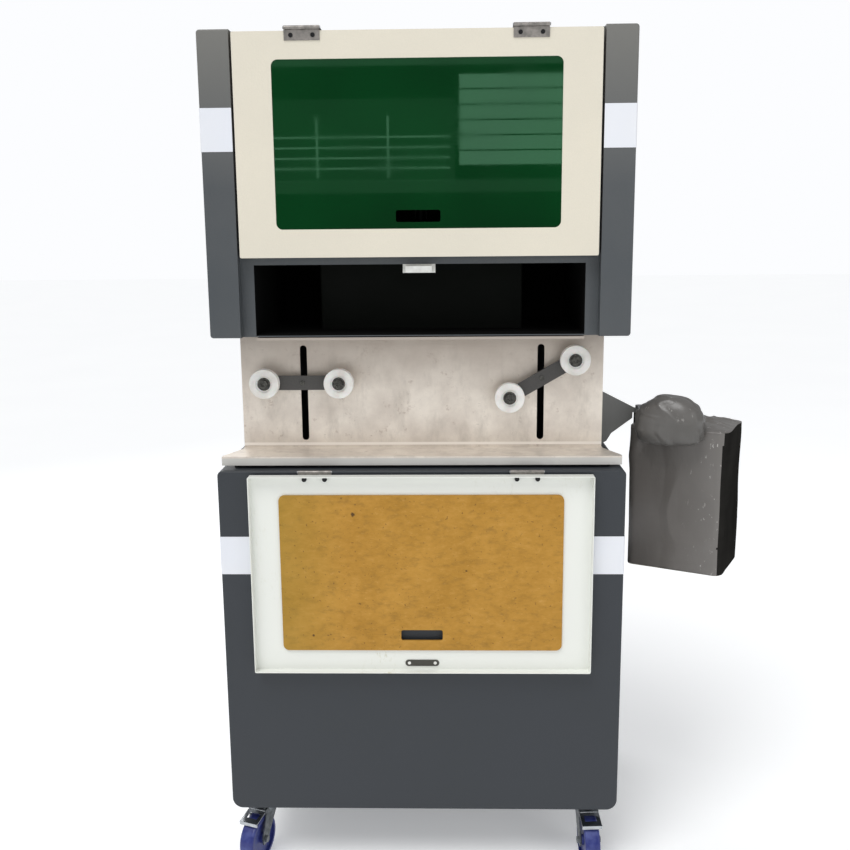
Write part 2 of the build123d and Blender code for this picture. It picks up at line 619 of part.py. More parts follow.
def control_case():
    """Steel case, open towards its front cover."""
    width, depth, height = BOX_SIZE
    behind_cover = block((-width - 1, 1), (BOX_LID, depth + 1), (-1, height + 1))
    hollow = block((-width + SHEET, -SHEET), (BOX_LID - 1, depth - SHEET), (SHEET, height - SHEET))
    hollow = soften(hollow, Axis.Z, BOX_CORNER_RADIUS - SHEET, lambda c: c.Y > depth / 2)
    return (box_outline(0, height) & behind_cover) - hollow


def control_cover():
    """Front cover with the screen opening and the hole of the stop button."""
    width, _, height = BOX_SIZE
    cover = box_outline(0, height) & block((-width - 1, 1), (-1, BOX_LID), (-1, height + 1))
    wall = COVER_WALL
    hollow = block((-width + wall, -wall), (wall, BOX_LID + 1), (wall, height - wall))
    hollow = soften(hollow, Axis.Z, BOX_CORNER_RADIUS - COVER_WALL, lambda c: c.Y < BOX_LID / 2)
    screen = block(SCREEN_X, (-1, COVER_WALL + 1), SCREEN_Z)
    return cover - hollow - screen


def control_screen():
    """Glass in the opening, on its board."""
    glass = block(SCREEN_X, (0.5, COVER_WALL), SCREEN_Z)
    board_x = (SCREEN_X[0] - 15, SCREEN_X[1] + 15)
    board = block(board_x, (COVER_WALL, COVER_WALL + 6), (SCREEN_Z[0] - 10, SCREEN_Z[1] + 10))
    return glass + board


def dust_film():
    """Grey packing film over the box, open at the bottom and cut round the foot of the swing arm."""
    height = BOX_SIZE[2]
    film = box_outline(3, height + FILM, FILM) - box_outline(2, height)
    return film - swing_foot(FILM)


def film_bundle():
    """Film-wrapped keypad that hangs over the top front edge of the box."""
    width, depth, height = BOX_SIZE
    pad = Box(*BUNDLE)
    pad = fillet(pad.edges(), 30.0)
    pad = Pos(-width + 93, -18, height + 20) * pad
    return pad - block((-width - 5, 5), (-FILM, depth), (-1, height + FILM))


def swing_bracket():
    """Gusset on the right of the rear column, with the eye of the pivot at its tip."""
    x0 = PLATE_HALF - 2
    px, py = SWING_PIVOT
    z = SWING_Z
    outline = Polyline(
        (x0, z - 74), (x0 + 24, z - 62), (x0 + 34, z - 45), (px - SWING_HUB_RADIUS - 3, z - 12),
        (px - SWING_HUB_RADIUS - 3, z), (px - 9.5, z), (px - 9.5, z + SWING_EYE), (x0, z + 52), close=True,
    )
    web = Pos(0, py - 2, 0) * extrude(Plane.XZ * make_face(outline), -4.0)
    foot = block((x0, x0 + 4), (py - 40, py + 40), (z - 74, z + 52))
    eye = rod((px, py, z), (px, py, z + SWING_EYE), SWING_HUB_RADIUS)
    body = web + foot + eye
    return body - rod((px, py, z - 1), (px, py, z + SWING_EYE + 1), SWING_PIN_RADIUS)


def swing_pin():
    px, py = SWING_PIVOT
    pin = rod((px, py, SWING_Z - SWING_HUB_HEIGHT + 1), (px, py, SWING_Z + SWING_EYE + 1), SWING_PIN_RADIUS)
    return pin + rod((px, py, SWING_Z + SWING_EYE), (px, py, SWING_Z + SWING_EYE + 6), 9.0)


def swing_foot(grow=0.0):
    """Foot plate on the roof of the box, in the box's own drawing."""
    width, _, height = BOX_SIZE
    x = (-width + 1.5 - grow, -width + 72 + grow)
    return block(x, (28 - grow, 96 + grow), (height, height + SWING_FOOT))


def swing_arm():
    """Foot plate and hub that hang the control box from the eye."""
    px, py = SWING_PIVOT
    base = BOX_CORNER[2] + BOX_SIZE[2]
    hub = rod((px, py, base + 1), (px, py, base + SWING_FOOT + SWING_HUB_HEIGHT), SWING_HUB_RADIUS)
    width, _, height = BOX_SIZE
    bolt_spots = ((-width + 62, 40), (-width + 62, 84), (-width + 14, 84))
    bolts = [rod((x, y, height + 1), (x, y, height + SWING_FOOT + 3), 5.0) for x, y in bolt_spots]
    arm = box_place(swing_foot() + bolts) + hub
    bore = SWING_PIN_RADIUS + BORE_CLEARANCE
    return arm - rod((px, py, base + SWING_FOOT), (px, py, SWING_Z + 1), bore)


# ---- Laser ----------------------------------------------------------------------------------------
def honeycomb_bed():
    """Cutting bed: a frame with cross slats."""
    x, y = (-255.0, 255.0), (60.0, 400.0)
    frame = block(x, y, (BED_Z - 22, BED_Z))
    frame -= block((x[0] + 12, x[1] - 12), (y[0] + 12, y[1] - 12), (BED_Z - 30, BED_Z + 1))
    slats = [block((x[0], x[1]), (yy - 1, yy + 1), (BED_Z - 12, BED_Z)) for yy in range(90, 390, 20)]
    return frame + slats


def bed_posts():
    z = (CROSSBAR[0] + SHEET, BED_Z - 22)
    return [block((sx * 235 - 8, sx * 235 + 8), (y - 8, y + 8), z) for sx in (-1, 1) for y in (80, 380)]


def side_rails():
    """Linear rails along Y on brackets that stand on the chamber floor."""
    rails = []
    for side in (-1, 1):
        x = side * RAIL_X
        rail = block((x - 6, x + 6), (50, 470), (RAIL_Z - 8, RAIL_Z))
        web = block((x - 2, x + 2), (50, 470), (CROSSBAR[0] + SHEET, RAIL_Z - 8))
        rails.append(rail + web)
    return group(rails)


def cross_beam():
    """Beam that rides on both rails, with the rail of the head in front."""
    beam = block((-RAIL_X - 18, RAIL_X + 18), (BEAM_Y, BEAM_Y + 40), (RAIL_Z + 12, RAIL_Z + 40))
    rail = block((-RAIL_X + 10, RAIL_X - 10), (BEAM_Y - 8, BEAM_Y), (RAIL_Z + 20, RAIL_Z + 32))
    shoes = []
    for side in (-1, 1):
        x = side * RAIL_X
        shoe = block((x - 16, x + 16), (BEAM_Y - 5, BEAM_Y + 45), (RAIL_Z - 6, RAIL_Z + 12))
        shoes.append(shoe - block((x - 6.3, x + 6.3), (BEAM_Y - 6, BEAM_Y + 46), (RAIL_Z - 10, RAIL_Z + 0.3)))
    return beam + rail + shoes


def laser_head():
    """Head with its mirror box, lens tube and nozzle."""
    shoe = block((-24, 24), (BEAM_Y - 26, BEAM_Y - 1), (RAIL_Z + 14, RAIL_Z + 38))
    shoe -= block((-25, 25), (BEAM_Y - 8.1, BEAM_Y), (RAIL_Z + 19.9, RAIL_Z + 32.1))
    mirror_box = block((-16, 16), (BEAM_Y - 58, BEAM_Y - 26), (RAIL_Z + 4, RAIL_Z + 40))
    y = BEAM_Y - 42
    tube = rod((0, y, RAIL_Z - 40), (0, y, RAIL_Z + 4), 11.0)
    nozzle = Pos(0, y, RAIL_Z - 51) * Cone(3.0, 9.0, 22)
    return shoe + mirror_box + tube + nozzle


def laser_tube():
    line, half = (TUBE_Y, TUBE_Z), TUBE_LENGTH / 2
    tube = rod((-half, *line), (half, *line), TUBE_RADIUS)
    return tube + [rod((s * half, *line), (s * (half + 18), *line), 14.0) for s in (-1, 1)]


def tube_mounts():
    mounts = []
    for side in (-1, 1):
        x = side * 200
        pad = block((x - 12, x + 12), (TUBE_Y - 36, CABINET_DEPTH - SHEET), (TUBE_Z - 36, TUBE_Z + 36))
        mounts.append(pad - rod((x - 20, TUBE_Y, TUBE_Z), (x + 20, TUBE_Y, TUBE_Z), TUBE_RADIUS + 0.3))
    return group(mounts)


def power_supply():
    case = block((-330, -180), (330, 540), (UNDERSIDE_Z + SHEET, UNDERSIDE_Z + SHEET + 130))
    return soften(case, Axis.Z, 3.0)


def duct_collar():
    """Exhaust collar on the upper rear cover."""
    y = CABINET_DEPTH
    bore = rod((0, y - 1, DUCT_Z), (0, y + 46, DUCT_Z), 50.0)
    ring = rod((0, y, DUCT_Z), (0, y + 45, DUCT_Z), 52.0)
    flange = rod((0, y, DUCT_Z), (0, y + 2, DUCT_Z), 68.0)
    return ring + flange - bore


def rear_cover(z_low, z_high, rows, duct=False):
    panel = vented_panel(z_low, z_high, rows)
    if duct:
        panel -= rod((0, CABINET_DEPTH - 5, DUCT_Z), (0, CABINET_DEPTH + 5, DUCT_Z), 50.0)
    return panel


def make_parts():
    """Every node by name, in the machine's own frame."""
    parts = {
        "lower_cabinet": lower_cabinet(),
        "lower_rear_cover": rear_cover(UNDERSIDE_Z, LEDGE_Z, 9),
        "upper_cabinet": upper_cabinet(),
        "upper_rear_cover": rear_cover(UPPER_UNDERSIDE_Z, TOP_Z, 5, duct=True),
        "rear_cover_screws": rear_screws(),
        "chamber_floor": chamber_floor(),
        "throat_liner": throat_liner(),
        "throat_guide": throat_guide(),
        "rear_column": spine(),
        "shelf_riser": shelf_riser(),
        "roller_plate": roller_plate(),
        "white_bands": group([wrap_band(*UPPER_BAND, OPENING_HALF), wrap_band(*LOWER_BAND, 0)]),
        "door_catches": door_catches(),
        "fixed_hinge_leaves": group(
            [at_upper_hinge(leaf) for leaf in hinge_pair(top_leaf())]
            + [at_bay_hinge(leaf) for leaf in hinge_pair(bay_leaf())]
        ),
        "hinge_pins": group(
            place(pin) for place in (at_upper_hinge, at_bay_hinge) for pin in hinge_pair(hinge_pin())
        ),
        "duct_collar": duct_collar(),
        "honeycomb_bed": group([honeycomb_bed(), *bed_posts()]),
        "side_rails": side_rails(),
        "cross_beam": cross_beam(),
        "laser_head": laser_head(),
        "laser_tube": laser_tube(),
        "tube_mounts": tube_mounts(),
        "power_supply": power_supply(),
        "caster_tops": group(caster_top(*spot) for spot in caster_spots().values()),
        "swing_bracket": swing_bracket(),
        "swing_pin": swing_pin(),
        "swing_arm": swing_arm(),
        "control_case": box_place(control_case()),
        "control_cover": box_place(control_cover()),
        "control_screen": box_place(control_screen()),
        "dust_film": box_place(dust_film()),
        "film_bundle": box_place(film_bundle()),
    }
    for door, place in (("upper", at_upper_hinge), ("bay", open_bay)):
        parts[f"{door}_door_panel"] = place(door_panel())
        parts[f"{door}_door_window"] = place(door_window())
        parts[f"{door}_door_fittings"] = place(group([*hinge_pair(door_leaf()), latch_plate()]))
        parts[f"{door}_door_screws"] = place(door_screws())
    for n, side in enumerate(("left", "right")):
        x, z = SLOT_X[n], ARM_Z[n]
        ends = arm_points(x, z, ARM_TILT[n])
        parts[f"{side}_slot_stud"] = slot_stud(x, z)
        parts[f"{side}_arm"] = arm_bar(x, z, ARM_TILT[n])
        for bolt in (roller_bolt(*end) for end in ends):
            parts[f"{side}_arm"] -= bolt
        parts[f"{side}_roller_bolts"] = group(roller_bolt(*end) for end in ends)
        for end, label in zip(ends, ("outer", "inner") if n == 0 else ("inner", "outer")):
            parts[f"{side}_{label}_roller"] = roller(*end)
    for name in caster_spots():
        parts[f"{name}_fork"] = place_caster(name, fork())
        parts[f"{name}_wheel"] = place_caster(name, caster_wheel())
        if name.startswith("front"):
            parts[f"{name}_brake"] = place_caster(name, brake_pedal())
    return parts


def origin_of(parts):
    """The bottom centre of the whole machine."""
    boxes = [shape.bounding_box() for shape in parts.values()]
    x = (min(b.min.X for b in boxes) + max(b.max.X for b in boxes)) / 2
    y = (min(b.min.Y for b in boxes) + max(b.max.Y for b in boxes)) / 2
    return Vector(x, y, min(b.min.Z for b in boxes))


if __name__ == "__main__":
    os.makedirs("parts", exist_ok=True)
    made = make_parts()
    origin = origin_of(made)
    print("origin in the machine's frame", origin, "nodes", len(made))
    for node, shape in made.items():
        export_step(Pos(-origin.X, -origin.Y, -origin.Z) * shape, f"parts/{node}.step")
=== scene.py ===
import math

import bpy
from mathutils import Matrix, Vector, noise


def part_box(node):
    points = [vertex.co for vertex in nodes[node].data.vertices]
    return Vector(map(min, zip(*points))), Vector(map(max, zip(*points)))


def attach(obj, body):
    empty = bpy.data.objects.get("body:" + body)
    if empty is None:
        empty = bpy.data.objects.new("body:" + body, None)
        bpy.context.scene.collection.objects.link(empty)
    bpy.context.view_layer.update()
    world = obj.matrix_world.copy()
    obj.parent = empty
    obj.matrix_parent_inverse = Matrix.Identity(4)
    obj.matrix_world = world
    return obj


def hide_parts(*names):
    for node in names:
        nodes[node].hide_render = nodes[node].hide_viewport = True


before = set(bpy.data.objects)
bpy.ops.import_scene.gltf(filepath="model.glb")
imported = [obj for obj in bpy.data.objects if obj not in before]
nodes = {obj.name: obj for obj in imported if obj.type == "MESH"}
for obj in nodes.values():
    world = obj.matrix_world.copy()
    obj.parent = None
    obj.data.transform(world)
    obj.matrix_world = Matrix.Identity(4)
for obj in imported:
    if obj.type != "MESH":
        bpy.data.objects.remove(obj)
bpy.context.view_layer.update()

# %% [markdown]
# # A two-cabinet laser cutter
# The machine stands on four casters. A dark steel cabinet at the bottom carries a stainless plate with two
# pairs of guide rollers, and a second cabinet with a green window door on top of that holds the laser.
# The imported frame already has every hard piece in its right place, so this lesson gives each one its finish
# and builds the two soft pieces, the packing film and the wrapped keypad, from scratch.

MM = 0.001
cabinet_low, cabinet_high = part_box("lower_cabinet")
FRONT = Vector(((cabinet_low.x + cabinet_high.x) / 2, cabinet_low.y, 0.0))


def at(x, y, z):
    """A point in millimetres from the middle of the cabinets' front face, at floor level."""
    return FRONT + Vector((x, y, z)) * MM


print("nodes", len(nodes), "front face at", tuple(round(v, 4) for v in FRONT))

# %% [markdown]
# ## Camera
# The viewer stands two metres in front of the machine, with the camera at chest height and tipped down a
# little. Three turns do it: down by the pitch, round by the yaw, and a very small roll. They are written as
# matrices multiplied in that order, which is easier to read than one set of three angles.

# %% Camera
CAMERA_PLACE = at(59.6, -1898.2, 1310.6)
PITCH = math.radians(10.744)
YAW = math.radians(1.517)
ROLL = math.radians(-0.504)
LENS_MM, SENSOR_MM = 42.35, 36.0
camera_data = bpy.data.cameras.new("camera")
camera_data.lens = LENS_MM
camera_data.sensor_width = SENSOR_MM
camera = bpy.data.objects.new("camera", camera_data)
bpy.context.scene.collection.objects.link(camera)
camera.matrix_world = (
    Matrix.Translation(CAMERA_PLACE)
    @ Matrix.Rotation(YAW, 4, "Z")
    @ Matrix.Rotation(math.pi / 2 - PITCH, 4, "X")
    @ Matrix.Rotation(ROLL, 4, "Z")
)
bpy.context.scene.camera = camera
print("camera at", tuple(round(v, 3) for v in CAMERA_PLACE))

# %% [markdown]
# ## Helpers for finishes
# Every finish below is a Principled shader with a few patterns wired into it. Wiring by hand takes many
# lines, so one function adds a node, sets or links its inputs, and hands back the output that is wanted. A
# Map Range node turns up most: its inputs are, by number, the value (0), the stretch that it comes from (1 and
# 2) and the stretch that it becomes (3 and 4), which is 0 to 1 unless it is set. A Mix node's colours are its
# inputs 6 and 7, and its mixed colour is its output 2.

# %% Nodes
def linear(hex_colour):
    """An sRGB hex colour as linear red, green, blue and alpha."""
    channels = [int(hex_colour[i : i + 2], 16) / 255 for i in (1, 3, 5)]
    return tuple(c / 12.92 if c <= 0.04045 else ((c + 0.055) / 1.055) ** 2.4 for c in channels) + (1.0,)


def add(tree, kind, inputs=None, output=0, **settings):
    """Adds one shader node, with its settings and its inputs set or linked, and returns an output of it."""
    node = tree.nodes.new("ShaderNode" + kind)
    for name, value in settings.items():
        setattr(node, name, value)
    for key, value in (inputs or {}).items():
        if isinstance(value, bpy.types.NodeSocket):
            tree.links.new(value, node.inputs[key])
        else:
            node.inputs[key].default_value = value
    return node.outputs[output]


def new_finish(name, **sockets):
    """A material with its shader's own sockets set. Returns the material, its node tree and the shader."""
    material = bpy.data.materials.new(name)
    material.use_nodes = True
    tree = material.node_tree
    shader = tree.nodes["Principled BSDF"]
    for key, value in sockets.items():
        shader.inputs[key.replace("_", " ")].default_value = value
    return material, tree, shader


print("a mid grey is", round(linear("#808080")[0], 3), "in linear light")

# %% [markdown]
# Three patterns serve every finish. Grain is noise with spots of a known size. A height mask tells the top of
# the machine from the bottom. Dressing a shader lays colours over one another, each where its mask says, the
# way that dirt lies over paint, and then wires in the roughness and the small relief.

# %% Patterns
def grain(tree, size_mm, detail=3.0, rough=0.5, stretch=(1, 1, 1)):
    """Noise whose spots are about size_mm across, in the machine's own metres."""
    place = add(tree, "TexCoord", output="Object")
    scaled = add(tree, "Mapping", {"Vector": place, "Scale": stretch})
    texture = {"Vector": scaled, "Scale": 1000 / size_mm, "Detail": detail, "Roughness": rough}
    return add(tree, "TexNoise", texture, output="Fac")


def height_mask(tree, from_mm, to_mm):
    """0 at one height and 1 at another, which may be the lower one."""
    place = add(tree, "TexCoord", output="Object")
    height = add(tree, "SeparateXYZ", {0: place}, output="Z")
    return add(tree, "MapRange", {0: height, 1: from_mm * MM, 2: to_mm * MM})


def dress(tree, shader, base, layers, rough=None, relief=None, relief_mm=0.0, strength=1.0):
    """Wires in a base colour under (mask, colour) layers, a roughness and a relief, relief_mm deep."""
    colour = linear(base)
    for mask, hex_colour in layers:
        mixed = {0: mask, 6: colour, 7: linear(hex_colour)}
        colour = add(tree, "Mix", mixed, output=2, data_type="RGBA")
    tree.links.new(colour, shader.inputs["Base Color"])
    if rough:
        tree.links.new(rough, shader.inputs["Roughness"])
    if relief:
        raised = {"Height": relief, "Distance": relief_mm * MM, "Strength": strength}
        tree.links.new(add(tree, "Bump", raised, output="Normal"), shader.inputs["Normal"])


print("patterns ready")

# %% [markdown]
# ## Floor and light
# A studio has a pale floor. This one gives off a little light of its own, so that it stays near white at the
# machine's foot, where the machine shades it.

# %% Floor
FLOOR_SIZE = 60.0
floor_mesh = bpy.data.meshes.new("floor")
corners = [(-1, -1, 0), (1, -1, 0), (1, 1, 0), (-1, 1, 0)]
floor_mesh.from_pydata([Vector(c) * FLOOR_SIZE / 2 for c in corners], [], [(0, 1, 2, 3)])
floor = bpy.data.objects.new("floor", floor_mesh)
bpy.context.scene.collection.objects.link(floor)
floor_paint, floor_tree, floor_shader = new_finish(
    "floor_paint", Roughness=0.8, Emission_Color=linear("#fcfdff"), Emission_Strength=0.27
)
dress(floor_tree, floor_shader, "#fafbfb", [(grain(floor_tree, 900), "#f4f5f6")])
floor_mesh.materials.append(floor_paint)
print("floor", FLOOR_SIZE, "m")

# %% [markdown]
# The picture is shown as plain sRGB, so a hex colour on a surface in full light comes out as that hex colour.
# The room is seen as white, but it lights the machine at less than half of that, or the glossy paints would
# all turn milky.

# %% Room
bpy.context.scene.view_settings.view_transform = "Standard"
ROOM_SEEN = 1.0
ROOM_LIGHT = 0.36
world = bpy.data.worlds.new("room")
world.use_nodes = True
room_tree = world.node_tree
background = room_tree.nodes["Background"]
background.inputs["Color"].default_value = linear("#fcfdff")
seen = add(room_tree, "LightPath", output="Is Camera Ray")
room_strength = add(room_tree, "MapRange", {0: seen, 3: ROOM_LIGHT, 4: ROOM_SEEN})
room_tree.links.new(room_strength, background.inputs["Strength"])
bpy.context.scene.world = world
print("room", ROOM_LIGHT, "seen as", ROOM_SEEN)

# %% [markdown]
# Most of the light comes from above, from a sun whose disc is 32 degrees across, so its shadows have wide
# soft edges. A weak softbox at the upper left lifts the front, one on the right shapes the side of the
# machine, and one behind draws its back edges.

# %% Lights
MIDDLE = at(0, 100, 900)
SUN_DISC = math.radians(32)


def lamp(name, kind, place, target, energy, **settings):
    """A light that faces a point."""
    data = bpy.data.lights.new(name, kind)
    data.energy = energy
    for key, value in settings.items():
        setattr(data, key, value)
    light = bpy.data.objects.new(name, data)
    bpy.context.scene.collection.objects.link(light)
    aim = (target - place).to_track_quat("-Z", "Y")
    light.matrix_world = Matrix.Translation(place) @ aim.to_matrix().to_4x4()


def softbox(name, place, target, watts, width, height):
    """A rectangle of light, with its sides in metres."""
    lamp(name, "AREA", place, target, watts, shape="RECTANGLE", size=width, size_y=height)


lamp("sky", "SUN", at(-900, -1500, 4200), MIDDLE, 1.5, angle=SUN_DISC)
softbox("key", at(-700, -1500, 2900), at(-50, 0, 1500), 4, 1.8, 0.9)
softbox("side", at(2200, -2200, 1700), MIDDLE, 10, 1.2, 1.6)
softbox("rim", at(-1800, 2600, 2600), MIDDLE, 30, 2.0, 1.6)

# %% [markdown]
# The green window is a mirror for whatever stands in front of the machine, and glass without a reflection
# looks like paint. So a simple room of light stands behind the camera: a slatted wall at the right, a
# balcony rail with two posts before a dim far wall at the left, a ceiling and a walkway. Each strip is so
# weak that it shows only in smooth, dark surfaces.

# %% Lights for the window to mirror
MIRRORED_Y, FAR_WALL_Y = -2600, -2640
AHEAD = Vector((0, 3, 0))
RAIL_POSTS = (-520, -210)


def strips(name, place, width, height, watts, count=1, pitch=0):
    """A ladder of lights that face the machine. Its first place and its upward pitch are in millimetres."""
    x, y, z = place
    for n in range(count):
        spot = at(x, y, z + n * pitch)
        softbox(f"{name}_{n}", spot, spot + AHEAD, watts, width, height)


strips("slat", (335, MIRRORED_Y, 1640), 0.47, 0.058, 0.36, count=6, pitch=64)
strips("rail", (-330, MIRRORED_Y, 1600), 0.78, 0.008, 0.06, count=4, pitch=44)
strips("ceiling", (-80, MIRRORED_Y, 2078), 1.30, 0.10, 0.45)
strips("walkway", (-80, MIRRORED_Y, 1522), 1.30, 0.055, 0.14)
strips("far_wall", (-318, FAR_WALL_Y, 1722), 0.80, 0.35, 0.30)
for post_x in RAIL_POSTS:
    strips(f"post_{abs(post_x)}", (post_x, MIRRORED_Y, 1690), 0.010, 0.26, 0.024)

# %% [markdown]
# ## Powder coat
# Both cabinets are folded steel sheet under dark grey powder coat. Powder melts into a skin with fine
# pimples, the orange peel, which breaks up its shine. Real pimples are about 1 mm across and these are drawn
# at twice that, so that they show. Dust and hand marks are larger patches that are a little lighter and
# rougher. The upper cabinet is painted lighter and warmer towards its top: a painted sheen, standing in for
# the light that its upper paint reflects.

# %% Powder coat
def powder_coat(name, paint, dusty, peel_mm, peel_depth, roughness, painted_top_sheen=None, **sockets):
    """Paint with dusty patches and orange peel. A top sheen gives its lower and upper height and its colour: a
    painted highlight towards the top.
    """
    material, tree, shader = new_finish(name, IOR=1.5, **sockets)
    patches = grain(tree, 260, detail=5, rough=0.6)
    speckle = grain(tree, 1.6, detail=2)
    worn = add(tree, "Math", {0: patches, 1: speckle}, operation="MULTIPLY")
    layers = [(add(tree, "MapRange", {0: worn, 1: 0.14, 2: 0.4}), dusty)]
    # A top sheen is painted light: the paint turns lighter and warmer towards the top.
    if painted_top_sheen:
        starts, full, top_sheen_colour = painted_top_sheen
        layers.append((height_mask(tree, starts, full), top_sheen_colour))
    rough = add(tree, "MapRange", {0: patches, 1: 0.3, 2: 0.7, 3: roughness - 0.05, 4: roughness + 0.09})
    dress(tree, shader, paint, layers, rough, grain(tree, peel_mm, detail=1.5), peel_depth)
    return material


graphite_coat = powder_coat("graphite_powder_coat", "#2b3035", "#33373d", 2.2, 0.10, 0.5)
# The upper cabinet's paint is painted lighter towards its top, a painted sheen.
pillar_coat = powder_coat(
    "upper_powder_coat", "#454a4e", "#505355", 2.2, 0.12, 0.46, painted_top_sheen=(1400, 1730, "#7a7974")
)
print("powder coats", graphite_coat.name, pillar_coat.name)

# %% [markdown]
# ## Door paints
# The upper door's pan has a pale cream coat with a coarser orange peel, which the light catches as a soft
# mottle. The inside of the bay door is a cooler white with scuffs where hands and material have rubbed it.

# %% Door paints
cream_coat = powder_coat("cream_powder_coat", "#dcd6c6", "#e3dccb", 4.0, 0.24, 0.42)


def scuffed_white(name):
    """White paint with yellowed rubs, only in some areas."""
    material, tree, shader = new_finish(name, IOR=1.5)
    area = add(tree, "MapRange", {0: grain(tree, 180, detail=4), 1: 0.52, 2: 0.66})
    rubbed = grain(tree, 9, detail=6, rough=0.7, stretch=(1, 1, 0.35))
    rubs = add(tree, "MapRange", {0: rubbed, 1: 0.54, 2: 0.68})
    scuffs = add(tree, "Math", {0: area, 1: rubs}, operation="MULTIPLY")
    rough = add(tree, "MapRange", {0: scuffs, 3: 0.36, 4: 0.6})
    dress(tree, shader, "#eaece6", [(scuffs, "#cfceba")], rough, grain(tree, 3.0, detail=1.5), 0.08)
    return material


white_coat = scuffed_white("scuffed_white_coat")
print("door paints", cream_coat.name, white_coat.name)

# %% [markdown]
# ## Trim bands
# The white bands are smooth self-adhesive film: brighter than the paint and with hardly any texture.

# %% Trim film
trim_film, trim_tree, trim_shader = new_finish("white_trim_film", IOR=1.46, Roughness=0.3)
trim_layers = [(grain(trim_tree, 140, detail=3), "#e2e6f0")]
trim_relief = grain(trim_tree, 30, detail=1)
dress(trim_tree, trim_shader, "#ecedef", trim_layers, relief=trim_relief, relief_mm=0.05)
print("trim", trim_film.name)

# %% [markdown]
# ## Stainless plate
# Brushed stainless steel is ground with a belt, which leaves fine scratches all one way. The colour is warm
# and light, the roughness is in streaks along X, and finger smudges and a few rusty dabs lie over them. Real
# scratches are hundredths of a millimetre wide: here they are drawn 0.6 mm wide. Near its top, under the upper
# cabinet, the plate is painted darker, a painted shade; along the fold at the shelf a bright line is a painted
# highlight; and the plate is greyer on the lip.

# %% Stainless
def brushed_stainless(name):
    """Half-metallic steel with streaks, smudges and dabs, and by height a painted shade, a painted highlight
    and a greyer lip.
    """
    material, tree, shader = new_finish(name, Metallic=0.5)
    streaks = grain(tree, 0.6, detail=2, stretch=(0.02, 1, 1))
    smudges = grain(tree, 70, detail=6, rough=0.65)
    wiped = grain(tree, 42, detail=6, rough=0.7, stretch=(1, 1, 0.4))
    dabs = grain(tree, 26, detail=6, rough=0.75)
    fold = {0: height_mask(tree, 886, 887), 1: height_mask(tree, 893, 891)}
    layers = [
        (add(tree, "MapRange", {0: smudges, 1: 0.35, 2: 0.65}), "#dbd1c6"),
        (add(tree, "MapRange", {0: wiped, 1: 0.50, 2: 0.72, 4: 0.6}), "#c0b7ac"),
        (add(tree, "MapRange", {0: dabs, 1: 0.60, 2: 0.72, 4: 0.55}), "#937868"),
        # painted shade: darker near the top, under the upper cabinet
        (height_mask(tree, 1000, 1125), "#aba197"),
        # painted highlight: a bright line along the fold at the shelf
        (add(tree, "Math", fold, operation="MULTIPLY"), "#fdf7ef"),
        (height_mask(tree, 881, 878), "#cfcdc8"),
    ]
    streaky = add(tree, "MapRange", {0: streaks, 1: 0.3, 2: 0.7, 3: 0.30, 4: 0.46})
    hazy = add(tree, "MapRange", {0: smudges, 1: 0.3, 2: 0.7, 3: -0.05, 4: 0.12})
    rough = add(tree, "Math", {0: streaky, 1: hazy})
    dress(tree, shader, "#efe6da", layers, rough, streaks, 0.015)
    return material


stainless = brushed_stainless("brushed_stainless")
print("metal", stainless.name)

# %% [markdown]
# ## Small metal parts
# Zinc plate is a soft grey with cloudy crystals, chrome is a near mirror, and black oxide is a thin dark skin
# on steel. One function makes them all from two colours, a roughness and a cloud size. The bay door's latch
# hangs low, with a darker plate and brighter screws than its hinges have, and shares their nodes, so a finish
# may change colour below a height.

# %% Plated metals
LATCH_BELOW = 700


def plated(name, first, second, roughness, cloud_mm, metallic=1.0, depth=0.02, latch_colour=None):
    """Clouds of two colours, and another colour for what is below LATCH_BELOW."""
    material, tree, shader = new_finish(name, Metallic=metallic)
    clouds = grain(tree, cloud_mm, detail=4)
    layers = [(add(tree, "MapRange", {0: clouds, 1: 0.35, 2: 0.65}), second)]
    if latch_colour:
        layers.append((height_mask(tree, LATCH_BELOW, LATCH_BELOW - 1), latch_colour))
    rough = add(tree, "MapRange", {0: clouds, 1: 0.3, 2: 0.7, 3: roughness, 4: roughness + 0.14})
    dress(tree, shader, first, layers, rough, grain(tree, cloud_mm / 6, detail=2), depth)
    return material


catch_plate = plated("white_catch_plate", "#dedfda", "#cfcfca", 0.35, 12, metallic=0.15)
zinc = plated("zinc_plate", "#a9aaac", "#8f9093", 0.30, 7)
hinge_steel = plated(
    "worn_hinge_steel", "#99948f", "#7d7a76", 0.36, 9, metallic=0.7, latch_colour="#4e4d48"
)
door_screw = plated(
    "door_screw_steel", "#1c1c1f", "#121214", 0.34, 5, metallic=0.5, latch_colour="#e6e6e1"
)
chrome = plated("chrome_plate", "#c2c5c8", "#a9adb1", 0.10, 20)
black_oxide = plated("black_oxide", "#5c5b56", "#3b3b39", 0.2, 5, metallic=0.9)
# The forks' zinc is painted darker than the plate above: painted shade on forks that stand in the cabinet's
# shadow.
fork_steel = plated("shaded_fork_zinc", "#83878a", "#63686b", 0.30, 9, metallic=0.8)
anodised = plated("anodised_aluminium", "#8e9194", "#7c7f83", 0.32, 14)
black_anodised = plated("black_anodised_aluminium", "#131415", "#1b1c1e", 0.38, 14, metallic=0.4)
print("plated", [m.name for m in (zinc, hinge_steel, chrome, black_oxide, anodised)])

# %% [markdown]
# The arms, the swing bracket and the dark pieces inside are coated or moulded, not plated. The powder coat's
# function serves for them too, with a finer peel. The swing bracket's grey is painted lighter than the
# cabinets' grey that it wears: painted light, for faces that the lamps leave dark. The throat's liner is
# nearly without shine and near black, black paint and painted shade together, so that it looks like an empty,
# dark opening.

# %% Small coated parts
arm_coat = powder_coat("arm_powder_coat", "#403e3c", "#4d4b49", 1.8, 0.06, 0.44)
